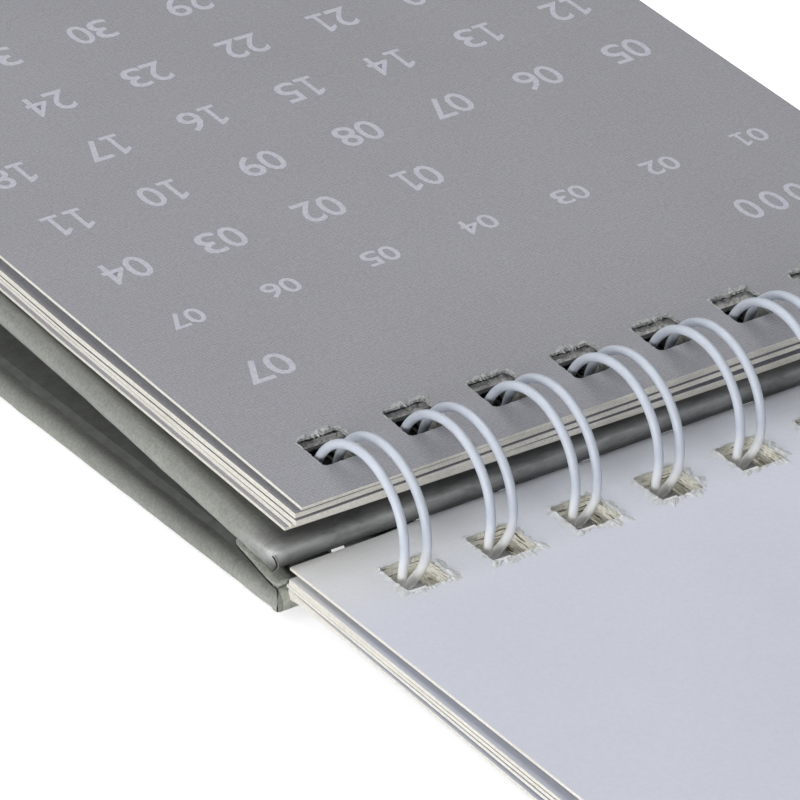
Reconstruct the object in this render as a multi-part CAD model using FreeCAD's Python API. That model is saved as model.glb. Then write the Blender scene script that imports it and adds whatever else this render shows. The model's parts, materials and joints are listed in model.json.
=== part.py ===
# Desk calendar on a folded easel, wire bound, lying open on its back.
# Millimetres. X runs along the wire, +Y away from it towards the unturned leaves, Z up.
# Everything is drawn about the ring's centre line (the axis all leaves and boards turn on)
# and moved at the end so that the table is Z = 0 and the part is centred in X and Y.
import FreeCAD, Part
import math
import os

V = FreeCAD.Vector

# ---- binding ----
PITCH = 25.4 / 3.0        # hole pitch of a 3:1 punch
HOLES = 8
WIRE_D = 0.80             # coated wire
RING_R = 6.27             # centre line of the closed ring
PAIR = 1.09               # half the distance between a finger's two wires
TIP = 0.62                # half that distance at the finger's tip
BEND = 1.0                # corner radius between finger and straight
END_LEN = 1.6             # cut end of the wire beyond the last corner
WIRE_SLIP = -0.24         # the wire lies this far off the holes' centres
CIRC_FROM = -28.0         # the ring is a true circle from here ...
NARROW_FROM = 188.0       # ... to here, then its two wires close up
NARROW_TO = 219.0
BASE_AT = 243.0           # where the fingers start, under the turned leaves
LOW = ((4.75, -4.60), (3.30, -6.10), (1.00, -6.84), (-1.50, -6.55))   # lower run

# ---- leaves ----
LEAF_W = 74.5
LEAF_H = 88.0
LEAF_T = 0.28
LEAF_MID = 33.0           # the leaves bend a little at this distance from their bound edge
HOLE = 4.2                # punched square
HOLE_X = 7.10             # first hole's centre from the top leaf's left edge
HOLE_U = 6.08             # hole's centre from the leaf's bound edge
INSET = 0.7               # how deep the gaps between leaves go
OVERSHOOT = 1.0           # punches run this far past a board's faces
PILE_REACH = 8.0          # and this far past a pile's first leaf

TOP_N = 3.16              # top leaf above the ring axis
TOP_U = -0.12             # its bound edge
# each leaf's slip along the wire and away from it, and how far it lies below the top leaf
# at the wire, at the bend and at the far end
UNTURNED = (
    (0.00, 0.00, 0.00, 0.00, 0.00),
    (-0.20, 0.55, 0.84, 1.62, 0.84),
    (-0.22, 0.40, 1.13, 1.91, 1.14),
    (-0.26, 1.21, 1.95, 2.20, 1.44),
    (-0.65, 1.25, 2.42, 2.50, 1.76))

TURN_N = 2.29             # turned pile: its uppermost face to the axis
TURN_U = 0.0
TURN_X = -0.77
TURNED = (
    (0.00, 0.00, 0.00, 0.00, 0.00),
    (-0.35, 0.37, 0.79, 1.15, 1.50),
    (-0.35, 0.35, 1.08, 1.56, 2.10),
    (-0.37, 0.10, 1.37, 2.00, 2.75),
    (-0.55, -0.05, 1.66, 2.60, 3.98))

# ---- boards ----
BOARD_T = 2.0
BOARD_R = 0.90            # wrapped edge
BOARD_W = 79.9
FRONT_X = -2.9            # front board's left edge from the top leaf's left edge
BACK_X = -2.3
FRONT_N = -0.44           # front board's outer face
FRONT_U = -0.18           # its wire edge
FRONT_HOLE_U = 6.0
BACK_N = -4.24            # back board's inner face
BACK_U = -0.35
BACK_HOLE_U = 4.10
FAR_U = 91.0              # far ends of both boards
LINING_T = 0.18
LINING_IN = 1.5           # lining stays this far inside the board's sides
LINING_U = 1.5            # and this far from the wire edge
LINING_FAR = 3.4          # and from the far end, clear of the base
HOLE_EASE = 0.25          # the lining's holes are this much larger each way

# ---- folded base ----
BASE_T = 1.8
BASE_R = 0.85
BASE_L = 22.0
BASE_GAP = 0.25           # over the lining
BASE_END = 0.3            # short of the boards' far ends
BASE_SIDE = 0.4           # short of the boards' sides

# ---- how it lies ----
LEAF_TILT = 2.58
FRONT_TILT = 3.55
TURN_TILT = 180.39

X_AXIS = V(1, 0, 0)
ORIGIN = V(0, 0, 0)


def turned(shape, deg):
    out = shape.copy()
    out.rotate(ORIGIN, X_AXIS, deg)
    return out


def point(u, n, deg):
    a = math.radians(deg)
    return (u * math.cos(a) - n * math.sin(a), u * math.sin(a) + n * math.cos(a))


def hole_xs():
    return [HOLE_X + i * PITCH for i in range(HOLES)]


def sheet(x0, x1, line, upper, lower):
    # a sheet along x; line is ((u, n), ...) and the sheet lies between upper and lower beside it
    pts = [V(x0, u, n + upper) for u, n in line] + [V(x0, u, n + lower) for u, n in reversed(line)]
    face = Part.Face(Part.makePolygon(pts + [pts[0]]))
    return face.extrude(V(x1 - x0, 0, 0))


def punches(shift_x, centre_u, size, n0, n1):
    out = []
    for x in hole_xs():
        p = V(x + shift_x - size / 2.0, centre_u - size / 2.0, n0)
        out.append(Part.makeBox(size, size, n1 - n0, p))
    return out


def pile(first_x, first_u, first_n, rows, sign):
    # sign -1: the pile's other leaves lie nearer the axis; +1: further from it
    leaves = []
    lo, hi = first_n - PILE_REACH, first_n + PILE_REACH
    for slip_x, slip_u, near, mid, far in rows:
        x0 = first_x + slip_x
        u0 = first_u + slip_u
        line = ((u0, first_n + sign * near), (u0 + LEAF_MID, first_n + sign * mid),
                (u0 + LEAF_H, first_n + sign * far))
        leaf = sheet(x0, x0 + LEAF_W, line, 0.0, sign * LEAF_T)
        leaf = leaf.cut(Part.makeCompound(punches(slip_x, u0 + HOLE_U, HOLE, lo, hi)))
        leaves.append(leaf)
    xs = [row[0] for row in rows]
    us = [row[1] for row in rows]
    x0, x1 = first_x + max(xs) + INSET, first_x + min(xs) + LEAF_W - INSET
    u0, u1 = first_u + max(us) + INSET, first_u + min(us) + LEAF_H - INSET
    u_mid = first_u + LEAF_MID
    top = first_n + sign * LEAF_T / 2.0
    near, mid, far = [top + sign * drop for drop in rows[-1][2:]]
    pts = [V(x0, u0, top), V(x0, u1, top), V(x0, u1, far), V(x0, u_mid, mid), V(x0, u0, near)]
    core = Part.Face(Part.makePolygon(pts + [pts[0]])).extrude(V(x1 - x0, 0, 0))
    size_x = HOLE + max(xs) - min(xs) + INSET
    size_u = HOLE + max(us) - min(us) + INSET
    mid_x = (max(xs) + min(xs)) / 2.0
    mid_u = first_u + (max(us) + min(us)) / 2.0 + HOLE_U
    core = core.cut(Part.makeCompound(punches(mid_x, mid_u, max(size_x, size_u), lo, hi)))
    return leaves[0].fuse(leaves[1:] + [core])


def board(x0, width, u0, u1, top, thick, radius, hole_u=None, hole=HOLE):
    # the wrapping rounds the long edges and meets in a mitre at the corners
    b = Part.makeBox(width, u1 - u0, thick, V(x0, u0, top - thick))
    b = b.makeFillet(radius, [e for e in b.Edges if abs(e.tangentAt(0).z) < 0.5])
    if hole_u is not None:
        b = b.cut(Part.makeCompound(punches(0.0, hole_u, hole, top - thick - OVERSHOOT, top + OVERSHOOT)))
    return b


def lining(board_x, face, hole_u, board_u):
    # face is the sheet's lower side
    x0 = board_x + LINING_IN
    s = Part.makeBox(BOARD_W - 2 * LINING_IN, FAR_U - LINING_FAR - board_u - LINING_U, LINING_T,
                     V(x0, board_u + LINING_U, face))
    size = HOLE + HOLE_EASE
    return s.cut(Part.makeCompound(punches(0.0, hole_u, size, face - OVERSHOOT, face + OVERSHOOT)))


def base_half(board_x, top):
    u1 = FAR_U - BASE_END
    return board(board_x + BASE_SIDE, BOARD_W - 2 * BASE_SIDE, u1 - BASE_L, u1, top, BASE_T, BASE_R)


# ---- the wire ----
def ring_point(x, deg):
    a = math.radians(deg)
    return V(x, RING_R * math.cos(a), RING_R * math.sin(a))


def ring_dir(deg):
    a = math.radians(deg)
    return V(0, -math.sin(a), math.cos(a))


def lower_run(x):
    # from the finger's base under the turned leaves to the start of the true circle
    pts = [ring_point(x, BASE_AT)] + [V(x, u, n) for u, n in reversed(LOW)] + [ring_point(x, CIRC_FROM)]
    c = Part.BSplineCurve()
    c.interpolate(Points=pts, InitialTangent=ring_dir(BASE_AT), FinalTangent=ring_dir(CIRC_FROM))
    return c.toShape()


def circle_run(x):
    mid = (CIRC_FROM + NARROW_FROM) / 2.0
    return Part.Arc(ring_point(x, CIRC_FROM), ring_point(x, mid), ring_point(x, NARROW_FROM)).toShape()


def narrow_run(x, x_tip):
    pts = []
    for k in range(5):
        t = k / 4.0
        s = t * t * (3 - 2 * t)
        pts.append(ring_point(x + (x_tip - x) * s, NARROW_FROM + (NARROW_TO - NARROW_FROM) * t))
    c = Part.BSplineCurve()
    c.interpolate(Points=pts, InitialTangent=ring_dir(NARROW_FROM), FinalTangent=ring_dir(NARROW_TO))
    return c.toShape()


def tip_bend(xc):
    a = ring_point(xc - TIP, NARROW_TO)
    b = ring_point(xc + TIP, NARROW_TO)
    m = ring_point(xc, NARROW_TO) + ring_dir(NARROW_TO) * TIP
    return Part.Arc(a, m, b).toShape()


def corner(x, side):
    # from the straight to the finger's base; side is where the straight lies
    base = ring_point(x, BASE_AT)
    back = ring_dir(BASE_AT) * -BEND
    c = base + V(side * BEND, 0, 0)
    a = c + back
    k = math.sqrt(0.5)
    m = c + V(-side * BEND * k, 0, 0) + back * k
    return Part.Arc(a, m, base).toShape(), a


def wire_path():
    edges = []
    last = None
    for x in hole_xs():
        xc = x + WIRE_SLIP
        left, right = xc - PAIR, xc + PAIR
        bend_l, a = corner(left, -1)
        bend_r, b = corner(right, 1)
        start = last if last is not None else a - V(END_LEN, 0, 0)
        edges.append(Part.makeLine(start, a))
        edges += [bend_l, lower_run(left), circle_run(left), narrow_run(left, xc - TIP), tip_bend(xc)]
        edges += [narrow_run(right, xc + TIP), circle_run(right), lower_run(right), bend_r]
        last = b
    edges.append(Part.makeLine(last, last + V(END_LEN, 0, 0)))
    return Part.Wire(Part.__sortEdges__(edges)), edges[0].Vertexes[0].Point


def binding_wire():
    path, start = wire_path()
    ring = Part.Wire([Part.makeCircle(WIRE_D / 2.0, start, X_AXIS)])
    sweep = Part.BRepOffsetAPI.MakePipeShell(path)
    sweep.setFrenetMode(False)
    sweep.add(ring)
    sweep.build()
    sweep.makeSolid()
    return sweep.shape()


# ---- all pieces about the ring axis ----
# The calendar lies on the rings' lowest points and on the back board's far edge.
low_points = lower_run(0.0).discretize(Number=400)
TABLE = min(p.z for p in low_points) - WIRE_D / 2.0
BACK_BOTTOM = BACK_N - BOARD_T
BACK_TILT = -math.degrees(math.asin((BACK_BOTTOM - TABLE) / (FAR_U - BOARD_R)))
back_lining_face = BACK_N
front_inner = FRONT_N - BOARD_T
base_rear_top = BACK_N + LINING_T + BASE_GAP + BASE_T
base_front_top = front_inner - LINING_T - BASE_GAP

pieces = {}
pieces["back_panel"] = turned(
    board(BACK_X, BOARD_W, BACK_U, FAR_U, BACK_N, BOARD_T, BOARD_R, BACK_HOLE_U), BACK_TILT)
pieces["back_lining"] = turned(lining(BACK_X, back_lining_face, BACK_HOLE_U, BACK_U), BACK_TILT)
pieces["front_panel"] = turned(
    board(FRONT_X, BOARD_W, FRONT_U, FAR_U, FRONT_N, BOARD_T, BOARD_R, FRONT_HOLE_U), FRONT_TILT)
pieces["front_lining"] = turned(
    lining(FRONT_X, front_inner - LINING_T, FRONT_HOLE_U, FRONT_U), FRONT_TILT)
pieces["base_rear"] = turned(base_half(BACK_X, base_rear_top), BACK_TILT)
pieces["base_front"] = turned(base_half(FRONT_X, base_front_top), FRONT_TILT)
pieces["unturned_pages"] = turned(
    pile(0.0, TOP_U, TOP_N, UNTURNED, -1), LEAF_TILT)
pieces["turned_pages"] = turned(
    pile(TURN_X, TURN_U, TURN_N, TURNED, 1), TURN_TILT)
pieces["binding_wire"] = binding_wire()

# ---- into the row frame ----
boxes = [s.BoundBox for k, s in pieces.items() if k != "binding_wire"]
x_mid = (min(b.XMin for b in boxes) + max(b.XMax for b in boxes)) / 2.0
y_mid = (min(b.YMin for b in boxes) + max(b.YMax for b in boxes)) / 2.0
MOVE = V(-x_mid, -y_mid, -TABLE)

os.makedirs("parts", exist_ok=True)
for name, shape in pieces.items():
    shape = shape.copy()
    shape.translate(MOVE)
    solids = shape.Solids
    b = shape.BoundBox
    print("%-15s solids %d valid %s vol %8.1f  x %.2f %.2f  y %.2f %.2f  z %.3f %.3f" % (
        name, len(solids), shape.isValid(), shape.Volume, b.XMin, b.XMax, b.YMin, b.YMax, b.ZMin, b.ZMax))
    if len(solids) == 1:
        shape = solids[0]
    shape.exportStep("parts/%s.step" % name)

end_u = FAR_U - BASE_END - BASE_T / 2.0
rear = point(end_u, base_rear_top - BASE_T / 2.0, BACK_TILT)
front = point(end_u, base_front_top - BASE_T / 2.0, FRONT_TILT)
print("move", MOVE.x, MOVE.y, MOVE.z, "back tilt", BACK_TILT)
print("ring axis", MOVE.y, MOVE.z)
print("rear pivot", rear[0] + MOVE.y, rear[1] + MOVE.z, "front pivot", front[0] + MOVE.y, front[1] + MOVE.z)
mid = point((FAR_U + BACK_U) / 2.0, BACK_BOTTOM, BACK_TILT)
print("back face point", mid[0] + MOVE.y, mid[1] + MOVE.z)
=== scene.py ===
import json
import math
import random

import bmesh
import bpy
from mathutils import Matrix, Vector, noise


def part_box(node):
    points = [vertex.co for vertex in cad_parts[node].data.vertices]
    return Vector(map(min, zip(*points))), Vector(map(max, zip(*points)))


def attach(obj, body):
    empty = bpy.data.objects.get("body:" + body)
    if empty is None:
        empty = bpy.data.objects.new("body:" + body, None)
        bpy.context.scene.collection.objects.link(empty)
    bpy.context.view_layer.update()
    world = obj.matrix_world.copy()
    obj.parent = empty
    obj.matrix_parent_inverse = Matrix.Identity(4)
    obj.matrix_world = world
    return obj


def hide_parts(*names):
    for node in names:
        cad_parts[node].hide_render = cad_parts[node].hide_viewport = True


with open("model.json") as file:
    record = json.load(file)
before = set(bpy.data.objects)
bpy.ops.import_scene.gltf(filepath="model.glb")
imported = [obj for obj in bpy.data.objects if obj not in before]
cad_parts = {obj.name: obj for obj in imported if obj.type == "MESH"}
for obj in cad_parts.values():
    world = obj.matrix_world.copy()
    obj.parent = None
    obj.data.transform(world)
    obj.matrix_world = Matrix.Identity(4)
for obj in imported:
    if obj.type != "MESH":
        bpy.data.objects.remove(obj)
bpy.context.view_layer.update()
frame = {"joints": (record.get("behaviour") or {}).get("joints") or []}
MM = 0.001

# ------------------------------------------------------------------ sizes, in mm
PITCH = 25.4 / 3.0
HOLES = 8
HOLE = 4.2
HOLE_X = 7.10
HOLE_U = 6.08
WIRE_D = 0.80
RING_R = 6.27
PAIR = 1.09
TIP = 0.62
BEND = 1.0
END_LEN = 1.6
WIRE_SLIP = -0.24
CIRC_FROM, NARROW_FROM, NARROW_TO, BASE_AT = -28.0, 188.0, 219.0, 243.0
LOW = ((4.75, -4.60), (3.30, -6.10), (1.00, -6.84), (-1.50, -6.55))
LEAF_W, LEAF_H, LEAF_T, LEAF_MID = 74.5, 88.0, 0.28, 33.0
GAP_LEFT = 0.008          # between leaves that are pressed together


def grey_rim(far, near, left, right):
    """Width, height and overhang of the torn fibres round a grey hole, by the side that a spot faces."""
    return (0.40 * far ** 2 + 0.35 * far * right + 0.12 * right, 0.15 * far ** 2 + 0.03 * right,
            0.34 * far ** 2 + 0.06 * right)


def pale_rim(far, near, left, right):
    return (0.12 + 0.50 * far + 0.34 * left + 0.42 * right, 0.02 + 0.07 * far + 0.08 * left + 0.11 * right,
            0.02 + 0.03 * far)


# back: how far the top leaf reaches back under the front board, at its left end and beyond it
# pressed: the leaves, counted from 0, that lie pressed on the next, and the gap that each can fill
# lip: how much nearer to the wire the second leaf's first hole ends, and how much more each next one does
# rows: each leaf's slip along and away from the wire, its drop at the wire, at the bend and at the far end, and
# what it drops more towards the right
UNTURNED = dict(
    x=0.0, u=-0.12, n=3.16, sign=-1, back=(0.0, 0.0), pressed={1: 0.46, 2: 0.46, 3: 0.40}, lip=(0.9, 0.07),
    bent_corner=(), rim=grey_rim, rows=(
        (0.00, 0.00, 0.00, 0.00, 0.00, 0.00),
        (-0.20, 0.55, 0.84, 1.30, 0.80, -0.17),
        (-0.22, 0.37, 1.42, 1.91, 1.18, -0.23),
        (-0.26, 0.92, 1.98, 2.20, 1.44, 0.60),
        (-0.65, 1.25, 2.42, 2.50, 1.76, 0.82)))
TURNED = dict(
    x=-0.77, u=0.0, n=2.29, sign=1, back=(0.05, 0.36), pressed={1: 0.31, 2: 0.31}, lip=(0.0, 0.0),
    bent_corner=(4,), rim=pale_rim, rows=(
        (0.00, 0.00, 0.00, 0.00, 0.00, 0.00),
        (-0.35, 0.37, 0.79, 1.15, 1.50, 0.00),
        (-0.35, 0.35, 1.08, 1.56, 2.10, 0.00),
        (-0.37, 0.10, 1.37, 2.00, 2.75, 0.00),
        (-0.55, -0.05, 1.66, 2.60, 3.98, 0.00)))
REACH_FROM, REACH_TO = 9.0, 13.0    # where along x the top leaf's reach under the board changes
SHEET_CUTS_X = (0.8, 1.6, 2.4, 3.4) + tuple(i * 6.0 for i in range(1, 12))
SHEET_CUTS_U = (1.5, 2.8, 9.3, 11, 14, 18, 23, 28, LEAF_MID, 40, 50, 60, 75)
BENT_REACH, BENT_SHIFT, BENT_UNDER, BENT_OVER = 4.5, (0.30, 0.25), 0.80, 0.10
LIP_SQUEEZE = 0.08        # the cut off far side of the second leaf's holes keeps this share of its shape
BARE_HALF, BARE_STEP, BARE_LIFT = 2.6, 0.2, 0.012    # the bare strip of the second leaf in a hole
BARE_SHARES = (0.0, 0.2, 0.4, 0.6, 0.8, 1.0, 1.4)
SLIT_DEPTH = 0.8          # the gap between the two top grey leaves is closed this far behind the holes
BOARD_T, BOARD_R, BOARD_W = 2.0, 0.90, 79.9
FRONT_X, BACK_X, FRONT_TAPER = -2.9, -2.3, 0.9
FRONT_N, FRONT_U, FRONT_HOLE_U = -0.44, -0.18, 6.0
BACK_N, BACK_U, BACK_HOLE_U = -4.24, -0.35, 4.10
FAR_U = 91.0
LINING_T, LINING_IN, LINING_U, LINING_FAR, LINING_HOLE = 0.18, 1.5, 1.5, 3.4, HOLE + 0.25
BASE_T, BASE_R, BASE_L, BASE_GAP, BASE_END, BASE_SIDE = 1.8, 0.85, 22.0, 0.25, 0.3, 0.4
LEAF_TILT, FRONT_TILT, TURN_TILT = 2.58, 3.55, 180.39

joint = {j["name"]: j for j in frame["joints"]}
AXIS = Vector(joint["easel_open"]["pos_m"]) / MM
X0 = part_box("back_panel")[0][0] / MM - BACK_X
BACK_TILT = -math.degrees(math.asin((BACK_N - BOARD_T + AXIS.z) / (FAR_U - BOARD_R)))


def place(x, u, n, deg=0.0):
    """A point drawn about the ring axis, turned about it and put in the row frame, in metres."""
    a = math.radians(deg)
    y = u * math.cos(a) - n * math.sin(a)
    z = u * math.sin(a) + n * math.cos(a)
    return Vector((x + X0, y + AXIS.y, z + AXIS.z)) * MM


# ------------------------------------------------------------------ camera
SENSOR = 36.0
FOCAL_PX, FRAME_PX = 5793.26, 800.0
PAGE_U, PAGE_N = -0.18, 3.16                          # the page that the camera was placed from
camera = bpy.data.objects.new("camera", bpy.data.cameras.new("camera"))
bpy.context.collection.objects.link(camera)
camera.data.sensor_width = SENSOR
camera.data.lens = FOCAL_PX / FRAME_PX * SENSOR
camera.data.clip_start = 0.05
camera.data.clip_end = 20.0
CAM_PAGE = Vector((-226.923, -304.922, 252.543))      # from the top leaf's near left corner, in its plane
LOOK_PAGE = Vector((0.51621385, 0.66725211, -0.53693378))
RIGHT_PAGE = Vector((0.81128656, -0.58187542, 0.05687807))
tilt = Matrix.Rotation(math.radians(LEAF_TILT), 3, "X")
look = (tilt @ LOOK_PAGE).normalized()
right = tilt @ RIGHT_PAGE
right = (right - look * right.dot(look)).normalized()
up = right.cross(look)
eye = place(CAM_PAGE.x, CAM_PAGE.y + PAGE_U, CAM_PAGE.z + PAGE_N, LEAF_TILT)
camera.matrix_world = Matrix((
    (right.x, up.x, -look.x, eye.x),
    (right.y, up.y, -look.y, eye.y),
    (right.z, up.z, -look.z, eye.z),
    (0, 0, 0, 1)))
bpy.context.scene.camera = camera
bpy.context.scene.view_settings.view_transform = "Standard"


# ------------------------------------------------------------------ materials
def srgb(r, g, b):
    def lin(c):
        c /= 255.0
        return c / 12.92 if c <= 0.04045 else ((c + 0.055) / 1.055) ** 2.4
    return (lin(r), lin(g), lin(b), 1.0)


def grey(v):
    """A plain factor to multiply a colour by."""
    return (v, v, v, 1)


class Nodes:
    """Short hand for building a node tree."""
    def __init__(self, name):
        self.mat = bpy.data.materials.new(name)
        self.mat.use_nodes = True
        self.tree = self.mat.node_tree
        self.bsdf = self.tree.nodes["Principled BSDF"]
        self.coord = self.tree.nodes.new("ShaderNodeTexCoord").outputs["Object"]

    def link(self, a, b):
        self.tree.links.new(a, b)

    def mapped(self, scale, rot=(0, 0, 0)):
        m = self.tree.nodes.new("ShaderNodeMapping")
        m.inputs["Scale"].default_value = scale
        m.inputs["Rotation"].default_value = rot
        self.link(self.coord, m.inputs["Vector"])
        return m.outputs["Vector"]

    def noise(self, scale, detail=4.0, rough=0.6, vec=None, distort=0.0):
        t = self.tree.nodes.new("ShaderNodeTexNoise")
        t.inputs["Scale"].default_value = scale
        t.inputs["Detail"].default_value = detail
        t.inputs["Roughness"].default_value = rough
        t.inputs["Distortion"].default_value = distort
        self.link(vec if vec is not None else self.coord, t.inputs["Vector"])
        return t.outputs["Fac"]

    def wave(self, period, axis, distort):
        t = self.tree.nodes.new("ShaderNodeTexWave")
        t.bands_direction = axis
        t.inputs["Scale"].default_value = math.pi / 10.0 / period
        t.inputs["Distortion"].default_value = distort
        t.inputs["Detail"].default_value = 1.0
        self.link(self.coord, t.inputs["Vector"])
        return t.outputs["Fac"]

    def along(self, axis, start, end):
        """0 at start, 1 at end along an axis of the row frame."""
        sep = self.tree.nodes.new("ShaderNodeSeparateXYZ")
        self.link(self.coord, sep.inputs[0])
        r = self.tree.nodes.new("ShaderNodeMapRange")
        r.inputs["From Min"].default_value = start
        r.inputs["From Max"].default_value = end
        self.link(sep.outputs[axis], r.inputs["Value"])
        return r.outputs[0]

    def ramp(self, fac, stops):
        r = self.tree.nodes.new("ShaderNodeValToRGB")
        e = r.color_ramp.elements
        while len(e) < len(stops):
            e.new(0.5)
        for el, (pos, col) in zip(e, stops):
            el.position = pos
            el.color = col
        self.link(fac, r.inputs["Fac"])
        return r.outputs["Color"]

    def mix(self, a, b, fac, mode="MIX"):
        m = self.tree.nodes.new("ShaderNodeMix")
        m.data_type = "RGBA"
        m.blend_type = mode
        for sock, val in ((m.inputs["Factor"], fac), (m.inputs[6], a), (m.inputs[7], b)):
            if hasattr(val, "is_linked"):
                self.link(val, sock)
            else:
                sock.default_value = val
        return m.outputs[2]

    def math(self, op, a, b=0.0, c=None):
        m = self.tree.nodes.new("ShaderNodeMath")
        m.operation = op
        for sock, val in zip(m.inputs, (a, b, c)):
            if val is None:
                continue
            if hasattr(val, "is_linked"):
                self.link(val, sock)
            else:
                sock.default_value = val
        return m.outputs[0]

    def bump(self, height, strength, distance):
        b = self.tree.nodes.new("ShaderNodeBump")
        b.inputs["Strength"].default_value = strength
        b.inputs["Distance"].default_value = distance
        self.link(height, b.inputs["Height"])
        self.link(b.outputs["Normal"], self.bsdf.inputs["Normal"])

    def color(self, c):
        self.link(c, self.bsdf.inputs["Base Color"])

    def set(self, **kw):
        """Constants on the shader's own sockets."""
        for k, v in kw.items():
            self.bsdf.inputs[k.replace("_", " ")].default_value = v


def grey_print():
    m = Nodes("grey_print")
    fine = m.noise(5200.0, 2.0, 0.6)
    weft = m.wave(0.00027, "X", 5.0)
    warp = m.wave(0.00030, "Y", 5.0)
    weave = m.math("MULTIPLY_ADD", weft, 0.5, m.math("MULTIPLY", warp, 0.5))
    wide = m.noise(35.0, 2.0)
    tone = m.ramp(wide, [(0.3, srgb(151, 151, 156)), (0.7, srgb(155, 155, 160))])
    grain = m.ramp(m.math("MULTIPLY_ADD", fine, 0.72, m.math("MULTIPLY", weave, 0.28)),
                   [(0.34, (0.76, 0.76, 0.77, 1)), (0.66, grey(1.24))])
    m.color(m.mix(tone, grain, 0.55, "MULTIPLY"))
    m.set(Roughness=0.72, Specular_IOR_Level=0.25)
    m.bump(m.math("ADD", fine, weave), 0.10, 0.00003)
    return m.mat


def cut_edge():
    m = Nodes("cut_edge")
    along = m.noise(900.0, 3.0, 0.6, m.mapped((0.15, 0.15, 3.0)))
    speck = m.noise(4200.0, 2.0)
    base = m.ramp(along, [(0.30, srgb(198, 194, 184)), (0.55, srgb(214, 211, 203)), (0.8, srgb(223, 221, 213))])
    m.color(m.mix(base, m.ramp(speck, [(0.35, srgb(184, 178, 166)), (0.6, srgb(224, 222, 215))]), 0.3))
    m.set(Roughness=0.9, Specular_IOR_Level=0.1)
    m.bump(speck, 0.3, 0.00004)
    return m.mat


def hole_wall(name, dark, soft, pale, fine):
    """Layers of cut paper inside a punched hole."""
    m = Nodes(name)
    layers = m.noise(1.0, 2.0, 0.5, m.mapped((fine * 0.04, fine * 0.04, fine)))
    fluff = m.noise(2600.0, 3.0, 0.7)
    base = m.ramp(layers, [(0.36, dark), (0.43, pale), (0.50, pale), (0.54, soft), (0.58, pale)])
    m.color(m.mix(base, m.ramp(fluff, [(0.3, (0.80, 0.79, 0.76, 1)), (0.7, (1.08, 1.08, 1.06, 1))]), 0.7, "MULTIPLY"))
    m.set(Roughness=0.95, Specular_IOR_Level=0.1)
    m.bump(m.math("ADD", layers, fluff), 0.4, 0.00006)
    return m.mat


WALL_DEPTH = 3.0          # the tones of a grey hole's wall run from its top to this far down, in mm


def deep_hole_wall(name, top):
    """Cut leaves inside a hole: pale cut edges at the top, then painted shade: a painted shadow under them on the
    walls that face left, which stay lighter below, and growing dark further down the other walls.
    """
    m = Nodes(name)
    sep = m.tree.nodes.new("ShaderNodeSeparateXYZ")
    m.link(m.coord, sep.inputs[0])
    depth = m.math("MULTIPLY", m.math("SUBTRACT", top, sep.outputs["Z"]), 1.0 / (WALL_DEPTH * MM))
    rag = m.math("MULTIPLY", m.math("SUBTRACT", m.noise(2100.0, 3.0, 0.6), 0.5), 0.16)
    down = m.math("ADD", depth, rag)
    far_wall = m.ramp(down, [(0.07, srgb(214, 214, 212)), (0.13, srgb(150, 150, 149)), (0.38, srgb(150, 150, 149)),
                             (0.46, srgb(34, 34, 33)), (1.0, srgb(24, 24, 23))])
    right_wall = m.ramp(down, [(0.07, srgb(214, 214, 212)), (0.13, srgb(120, 120, 116)),
                               (0.35, srgb(176, 176, 170)), (0.9, srgb(150, 149, 142))])
    facing = m.tree.nodes.new("ShaderNodeSeparateXYZ")
    m.link(m.coord.node.outputs["Normal"], facing.inputs[0])
    tone = m.mix(far_wall, right_wall, m.math("LESS_THAN", facing.outputs["X"], -0.5))
    soft = m.noise(1500.0, 2.0, 0.5)
    m.color(m.mix(tone, m.ramp(soft, [(0.3, grey(0.90)), (0.7, grey(1.04))]), 0.7, "MULTIPLY"))
    m.set(Roughness=0.95, Specular_IOR_Level=0.1)
    m.bump(soft, 0.2, 0.00004)
    return m.mat


def torn(name, low, high):
    """Fibres pulled up round a punched hole."""
    m = Nodes(name)
    fibre = m.noise(2300.0, 4.0, 0.75, None, 0.6)
    m.color(m.ramp(fibre, [(0.32, low), (0.62, high)]))
    m.set(Roughness=0.95, Specular_IOR_Level=0.1)
    m.bump(fibre, 0.5, 0.00008)
    return m.mat


def blank_paper():
    m = Nodes("blank_paper")
    wide = m.noise(45.0, 3.0)
    fine = m.noise(2600.0, 3.0, 0.65)
    base = m.ramp(wide, [(0.3, srgb(203, 206, 217)), (0.7, srgb(207, 210, 221))])
    # painted light towards the bound edge, where the grey pile's shade falls: a little lighter and warm at the left,
    # bluer to the right
    near = m.ramp(m.along("Y", -0.0125, -0.0015), [(0.0, grey(0)), (1.0, grey(1))])
    light_tint = m.ramp(m.along("X", -0.034, -0.016), [(0.0, srgb(214, 214, 210)), (1.0, srgb(218, 221, 226))])
    paper_painted_light = m.mix(base, light_tint, m.math("MULTIPLY", near, 0.9))
    # painted light: brighter still close to the edge beside the board, against the shade there
    edge = m.ramp(m.along("Y", -0.0038, -0.0012), [(0.0, grey(1)), (0.5, grey(1.05)),
                                                   (1.0, grey(1.20))])
    paper_painted_light = m.mix(paper_painted_light, edge, 1.0, "MULTIPLY")
    m.color(m.mix(paper_painted_light, m.ramp(fine, [(0.3, grey(0.93)), (0.7, grey(1.04))]), 0.5, "MULTIPLY"))
    m.set(Roughness=0.8, Specular_IOR_Level=0.2)
    m.bump(fine, 0.15, 0.00005)
    return m.mat


def ink():
    m = Nodes("pale_ink")
    m.color(m.ramp(m.noise(3500.0, 2.0), [(0.3, srgb(178, 178, 188)), (0.7, srgb(196, 196, 206))]))
    m.set(Roughness=0.6)
    return m.mat


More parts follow.
